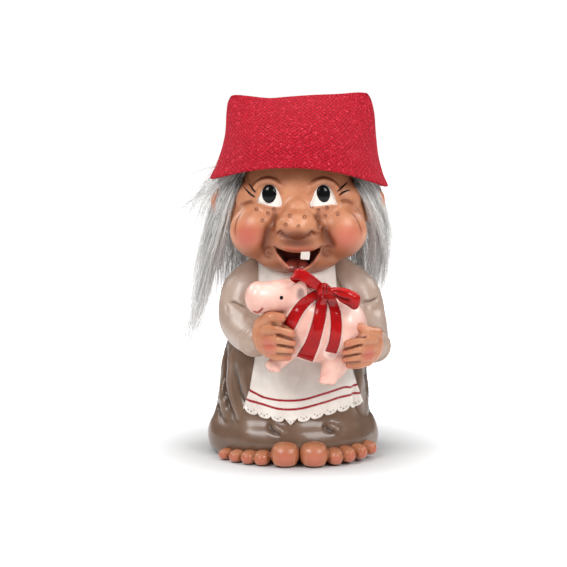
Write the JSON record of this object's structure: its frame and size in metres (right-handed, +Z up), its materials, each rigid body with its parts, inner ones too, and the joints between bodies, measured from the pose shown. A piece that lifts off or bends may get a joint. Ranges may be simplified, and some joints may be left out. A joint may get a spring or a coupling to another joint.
{
  "type": "troll figure",
  "caption": "Cast troll girl who hugs a piglet in a ribbon, with a fur wig and a loose red cloth cap, standing on bare toes.",
  "frame": {"origin": "on the standing face, under the middle of the dress", "axes": "+Z up, the troll faces -Y, +X to the right of someone who faces the troll"},
  "size_m": [0.0876, 0.0811, 0.1424],
  "materials": {
    "dress": "taupe paint under a clear gloss on cast resin",
    "base": "bare cast resin, matt",
    "apron": "off-white paint with crimson stripes under a clear gloss",
    "sleeve": "light taupe paint under a clear gloss",
    "skin": "tan paint with a brown wash and pink blush under a clear gloss",
    "eye_white": "white gloss paint",
    "pupil": "black gloss paint",
    "tooth": "white gloss paint",
    "tongue": "red gloss paint",
    "pig": "pink paint with a grey wash in the hollows under a clear gloss",
    "ribbon": "crimson gloss paint",
    "wig_cloth": "dark woven backing with short pile",
    "fur": "silver-grey long-pile imitation fur with dark roots",
    "cap_cloth": "crimson coarse woven cotton"
  },
  "bodies": {
    "figure": {"dress_body": "dress", "base_plate": "base", "apron": "apron", "left_sleeve": "sleeve", "right_sleeve": "sleeve", "left_foot": "skin", "right_foot": "skin", "left_hand": "skin", "right_hand": "skin", "head": "skin", "left_ear": "skin", "right_ear": "skin", "left_eye_white": "eye_white", "right_eye_white": "eye_white", "left_pupil": "pupil", "right_pupil": "pupil", "tooth": "tooth", "tongue": "tongue", "pig": "pig", "ribbon_band": "ribbon", "ribbon_left_tail": "ribbon", "ribbon_right_tail": "ribbon", "bow_knot": "ribbon", "bow_left_loop": "ribbon", "bow_right_loop": "ribbon", "wig_backing": "wig_cloth", "hair_left": "fur", "hair_right": "fur", "hair_back": "fur"},
    "cap": {"cap": "cap_cloth"}
  },
  "joints": [
    {"name": "cap_lift", "type": "slide", "parent": "figure", "child": "cap", "axis": [0, 0, 1], "range_m": [0, 0.06]}
  ]
}
